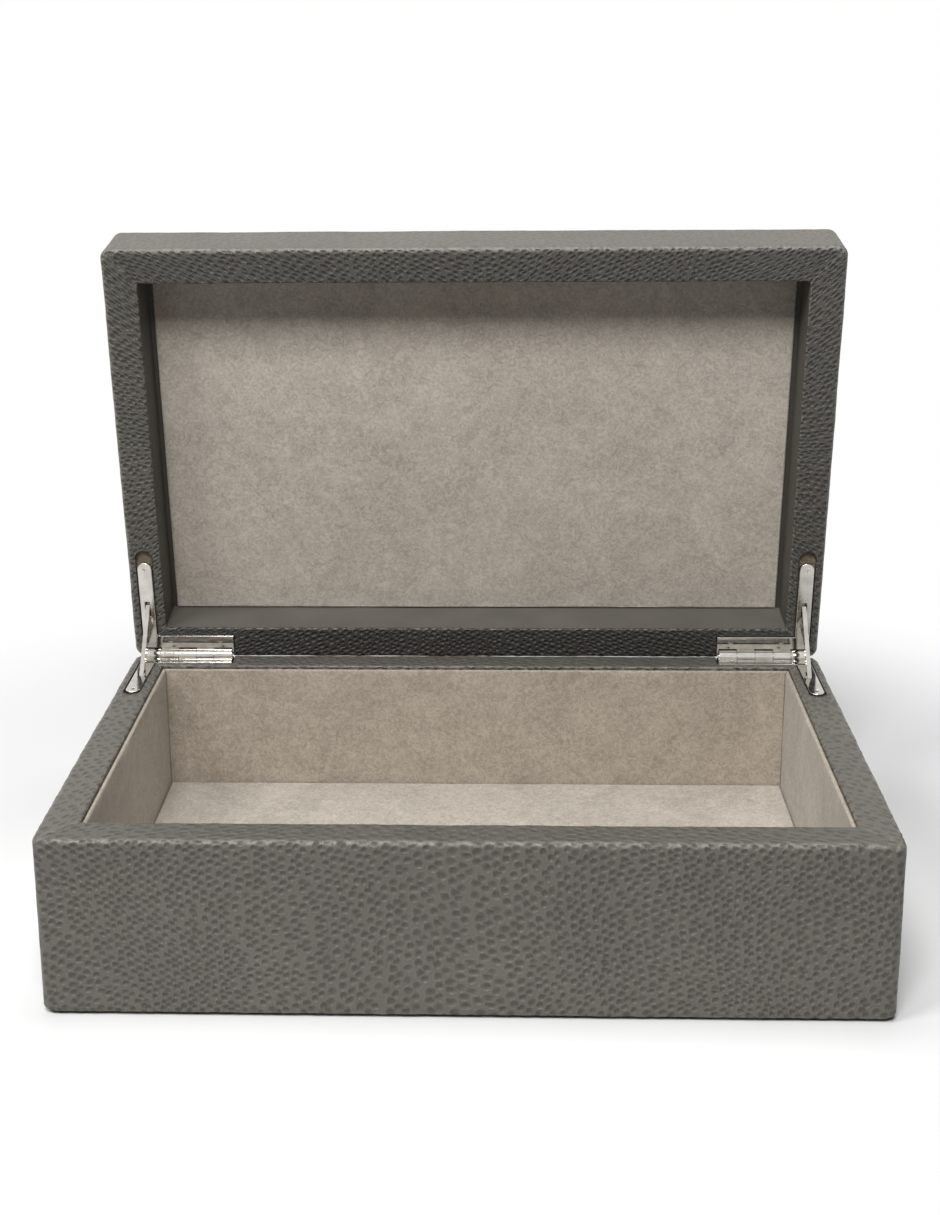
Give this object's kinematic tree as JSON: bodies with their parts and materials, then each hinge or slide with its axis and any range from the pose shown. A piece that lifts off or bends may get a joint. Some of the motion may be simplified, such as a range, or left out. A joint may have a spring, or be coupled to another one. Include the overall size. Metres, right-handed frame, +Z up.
{
  "type": "decorative box",
  "caption": "Rectangular leather-covered keepsake box with a suede lining and a lid on quadrant hinges with slotted stays, standing open.",
  "frame": {"origin": "middle of the underside, on the surface that the box stands on", "axes": "+X to the right along the front, +Y to the back where the hinges are, +Z up"},
  "size_m": [0.3, 0.2125, 0.2539],
  "materials": {
    "leather": "pebbled, matt",
    "suede": "brushed nap",
    "nickel": "polished",
    "board": "raw",
    "felt": "felted"
  },
  "bodies": {
    "base": {"base_front_board": "board", "base_back_board": "board", "base_left_board": "board", "base_right_board": "board", "base_bottom_board": "board", "base_leather_wrap": "leather", "underside_cover": "felt", "lining_front": "suede", "lining_back": "suede", "lining_left": "suede", "lining_right": "suede", "lining_floor": "suede", "right_lower_leaf": "nickel", "left_lower_leaf": "nickel", "right_hinge_pin": "nickel", "left_hinge_pin": "nickel", "lower_screws": "nickel"},
    "lid": {"lid_front_board": "board", "lid_back_board": "board", "lid_left_board": "board", "lid_right_board": "board", "lid_top_board": "board", "lid_leather_wrap": "leather", "lid_front_facing": "leather", "lid_back_facing": "leather", "lid_left_facing": "leather", "lid_right_facing": "leather", "lid_lining": "suede", "right_upper_leaf": "nickel", "left_upper_leaf": "nickel", "right_stay_rivet": "nickel", "left_stay_rivet": "nickel", "upper_screws": "nickel"},
    "left_stay_link": {"left_stay": "nickel", "left_stop_pin": "nickel"},
    "right_stay_link": {"right_stay": "nickel", "right_stop_pin": "nickel"}
  },
  "joints": [
    {"name": "lid_hinge", "type": "hinge", "parent": "base", "child": "lid", "pos_m": [0, 0.09117, 0.0682], "axis": [1, 0, 0], "range_deg": [0, 82]},
    {"name": "left_stay_pivot", "type": "hinge", "parent": "lid", "child": "left_stay_link", "pos_m": [-0.1428, 0.09105, 0.09242], "axis": [1, 0, 0], "range_deg": [-41.2, 0]},
    {"name": "right_stay_pivot", "type": "hinge", "parent": "lid", "child": "right_stay_link", "pos_m": [0.1428, 0.09105, 0.09242], "axis": [1, 0, 0], "range_deg": [-41.2, 0]}
  ],
  "couplings": [
    {"joint": "left_stay_pivot", "follows": "lid_hinge", "ratio": -0.5},
    {"joint": "right_stay_pivot", "follows": "lid_hinge", "ratio": -0.5}
  ]
}
